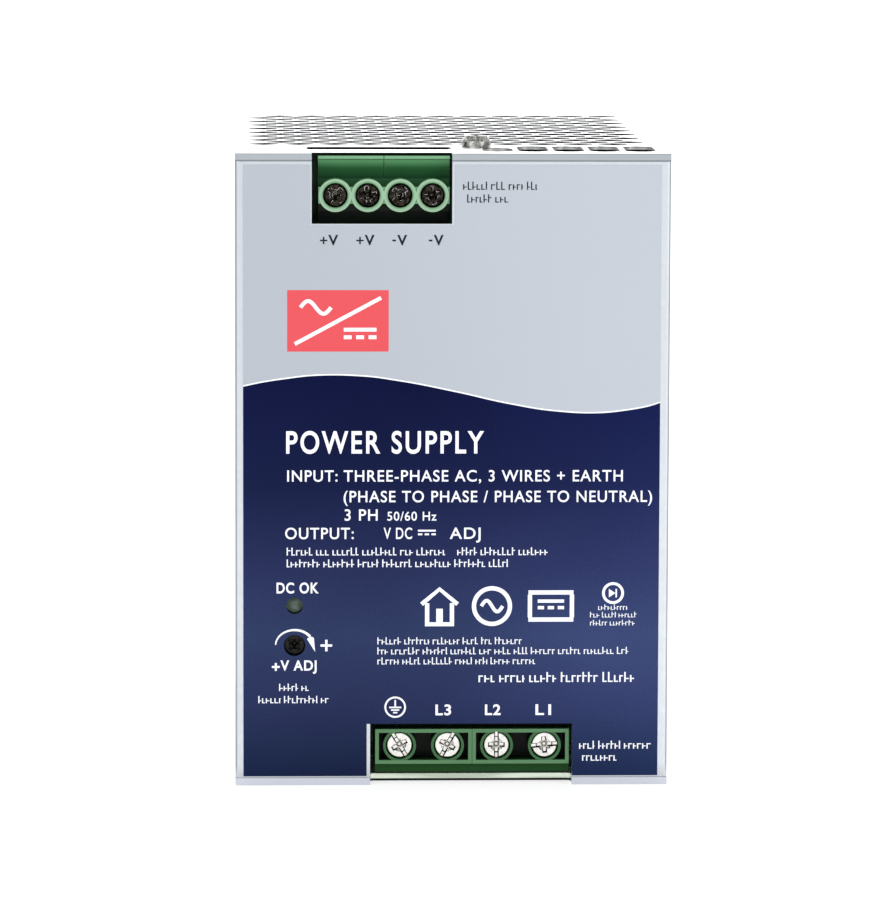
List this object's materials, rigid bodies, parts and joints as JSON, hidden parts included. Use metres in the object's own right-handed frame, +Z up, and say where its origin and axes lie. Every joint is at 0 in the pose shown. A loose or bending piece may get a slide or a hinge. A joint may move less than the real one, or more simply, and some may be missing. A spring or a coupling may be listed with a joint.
{
  "type": "din rail power supply",
  "caption": "Sheet-metal cased switching power supply with screw terminals above and below, perforated top and bottom, and a sprung clip for a top-hat rail.",
  "frame": {"origin": "bottom centre of the whole part, rail clip included", "axes": "+Z up along the case's height, -Y out of the labelled front, +X to the right seen from the front"},
  "size_m": [0.0856, 0.1348, 0.1276],
  "materials": {
    "case_sheet": "satin, fine grain",
    "label_print": "satin printed film, light grey above and navy below",
    "terminal_green": "moulded, semi-matt",
    "nickel_screw": "bright nickel plate",
    "dark_screw": "dark plated steel",
    "cage_steel": "zinc plate",
    "contact_brass": "tinned brass",
    "lamp_resin": "diffused resin, unlit",
    "trimmer_case": "moulded",
    "trimmer_rotor": "moulded",
    "circuit_board": "solder mask",
    "black_plastic": "moulded",
    "insulation": "thin sheet",
    "fuse_ceramic": "ceramic tube with nickel caps",
    "ferrite": "sintered ferrite",
    "copper_wire": "enamelled copper",
    "film_capacitor": "potted box",
    "disc_capacitor": "dipped disc",
    "can_sleeve": "shrink sleeve over an aluminium can",
    "heatsink_aluminium": "extruded",
    "winding_tape": "polyester tape",
    "clip_steel": "bright zinc plate",
    "spring_steel": "spring wire"
  },
  "bodies": {
    "case": {"chassis": "case_sheet", "front_cover": "case_sheet", "label_film": "label_print", "top_screw": "nickel_screw", "side_screws": "nickel_screw", "dc_terminal_block": "terminal_green", "ac_terminal_block_left": "terminal_green", "ac_terminal_block_right": "terminal_green", "terminal_contacts": "contact_brass", "status_light": "lamp_resin", "trimmer_body": "trimmer_case", "signal_board": "circuit_board", "signal_header": "black_plastic", "front_board": "circuit_board", "board_posts": "contact_brass", "main_board": "circuit_board", "board_screws": "nickel_screw", "insulation_sheet": "insulation", "control_board": "circuit_board", "control_chips": "black_plastic", "input_fuses": "fuse_ceramic", "emi_choke_cores": "ferrite", "emi_choke_windings": "copper_wire", "x_capacitors": "film_capacitor", "y_capacitors": "disc_capacitor", "bulk_capacitors": "can_sleeve", "primary_heatsink": "heatsink_aluminium", "primary_transistors": "black_plastic", "bridge_rectifier": "black_plastic", "transformer_core": "ferrite", "transformer_bobbin": "black_plastic", "transformer_winding": "winding_tape", "secondary_heatsink": "heatsink_aluminium", "output_rectifiers": "black_plastic", "output_choke_core": "ferrite", "output_choke_winding": "copper_wire", "output_capacitors": "can_sleeve", "power_links": "copper_wire", "earth_bracket": "clip_steel", "din_bracket": "clip_steel", "latch_spring": "spring_steel", "clip_screws": "nickel_screw"},
    "latch": {"din_latch": "clip_steel"},
    "rotor": {"trimmer_rotor": "trimmer_rotor"},
    "dc_screw_1": {"dc_screw_1": "dark_screw"},
    "dc_cage_1": {"dc_cage_1": "cage_steel"},
    "dc_screw_2": {"dc_screw_2": "dark_screw"},
    "dc_cage_2": {"dc_cage_2": "cage_steel"},
    "dc_screw_3": {"dc_screw_3": "dark_screw"},
    "dc_cage_3": {"dc_cage_3": "cage_steel"},
    "dc_screw_4": {"dc_screw_4": "dark_screw"},
    "dc_cage_4": {"dc_cage_4": "cage_steel"},
    "ac_screw_1": {"ac_screw_1": "nickel_screw"},
    "ac_cage_1": {"ac_cage_1": "cage_steel"},
    "ac_screw_2": {"ac_screw_2": "nickel_screw"},
    "ac_cage_2": {"ac_cage_2": "cage_steel"},
    "ac_screw_3": {"ac_screw_3": "nickel_screw"},
    "ac_cage_3": {"ac_cage_3": "cage_steel"},
    "ac_screw_4": {"ac_screw_4": "nickel_screw"},
    "ac_cage_4": {"ac_cage_4": "cage_steel"}
  },
  "joints": [
    {"name": "latch_slide", "type": "slide", "parent": "case", "child": "latch", "axis": [0, 0, -1], "range_m": [0, 0.005], "stiffness_N_per_m": 1200, "springref_m": -0.004, "deforming": ["latch_spring"]},
    {"name": "trimmer_turn", "type": "hinge", "parent": "case", "child": "rotor", "pos_m": [-0.03105, -0.06435, 0.028], "axis": [0, 1, 0], "range_deg": [-130, 130]},
    {"name": "dc_screw_1_turn", "type": "hinge", "parent": "case", "child": "dc_screw_1", "pos_m": [-0.02307, -0.06435, 0.1169], "axis": [0, 1, 0], "range_deg": [0, 1800]},
    {"name": "dc_cage_1_slide", "type": "slide", "parent": "case", "child": "dc_cage_1", "axis": [0, -1, 0], "range_m": [0, 0.0025]},
    {"name": "dc_screw_2_turn", "type": "hinge", "parent": "case", "child": "dc_screw_2", "pos_m": [-0.01673, -0.06435, 0.1169], "axis": [0, 1, 0], "range_deg": [0, 1800]},
    {"name": "dc_cage_2_slide", "type": "slide", "parent": "case", "child": "dc_cage_2", "axis": [0, -1, 0], "range_m": [0, 0.0025]},
    {"name": "dc_screw_3_turn", "type": "hinge", "parent": "case", "child": "dc_screw_3", "pos_m": [-0.01038, -0.06435, 0.1169], "axis": [0, 1, 0], "range_deg": [0, 1800]},
    {"name": "dc_cage_3_slide", "type": "slide", "parent": "case", "child": "dc_cage_3", "axis": [0, -1, 0], "range_m": [0, 0.0025]},
    {"name": "dc_screw_4_turn", "type": "hinge", "parent": "case", "child": "dc_screw_4", "pos_m": [-0.00402, -0.06435, 0.1169], "axis": [0, 1, 0], "range_deg": [0, 1800]},
    {"name": "dc_cage_4_slide", "type": "slide", "parent": "case", "child": "dc_cage_4", "axis": [0, -1, 0], "range_m": [0, 0.0025]},
    {"name": "ac_screw_1_turn", "type": "hinge", "parent": "case", "child": "ac_screw_1", "pos_m": [-0.01025, -0.06435, 0.00775], "axis": [0, 1, 0], "range_deg": [0, 1800]},
    {"name": "ac_cage_1_slide", "type": "slide", "parent": "case", "child": "ac_cage_1", "axis": [0, -1, 0], "range_m": [0, 0.0025]},
    {"name": "ac_screw_2_turn", "type": "hinge", "parent": "case", "child": "ac_screw_2", "pos_m": [-0.00075, -0.06435, 0.00775], "axis": [0, 1, 0], "range_deg": [0, 1800]},
    {"name": "ac_cage_2_slide", "type": "slide", "parent": "case", "child": "ac_cage_2", "axis": [0, -1, 0], "range_m": [0, 0.0025]},
    {"name": "ac_screw_3_turn", "type": "hinge", "parent": "case", "child": "ac_screw_3", "pos_m": [0.00898, -0.06435, 0.00775], "axis": [0, 1, 0], "range_deg": [0, 1800]},
    {"name": "ac_cage_3_slide", "type": "slide", "parent": "case", "child": "ac_cage_3", "axis": [0, -1, 0], "range_m": [0, 0.0025]},
    {"name": "ac_screw_4_turn", "type": "hinge", "parent": "case", "child": "ac_screw_4", "pos_m": [0.01848, -0.06435, 0.00775], "axis": [0, 1, 0], "range_deg": [0, 1800]},
    {"name": "ac_cage_4_slide", "type": "slide", "parent": "case", "child": "ac_cage_4", "axis": [0, -1, 0], "range_m": [0, 0.0025]}
  ],
  "couplings": [
    {"joint": "dc_screw_1_turn", "follows": "dc_cage_1_slide", "rad_per_m": 12566},
    {"joint": "dc_screw_2_turn", "follows": "dc_cage_2_slide", "rad_per_m": 12566},
    {"joint": "dc_screw_3_turn", "follows": "dc_cage_3_slide", "rad_per_m": 12566},
    {"joint": "dc_screw_4_turn", "follows": "dc_cage_4_slide", "rad_per_m": 12566},
    {"joint": "ac_screw_1_turn", "follows": "ac_cage_1_slide", "rad_per_m": 12566},
    {"joint": "ac_screw_2_turn", "follows": "ac_cage_2_slide", "rad_per_m": 12566},
    {"joint": "ac_screw_3_turn", "follows": "ac_cage_3_slide", "rad_per_m": 12566},
    {"joint": "ac_screw_4_turn", "follows": "ac_cage_4_slide", "rad_per_m": 12566}
  ]
}
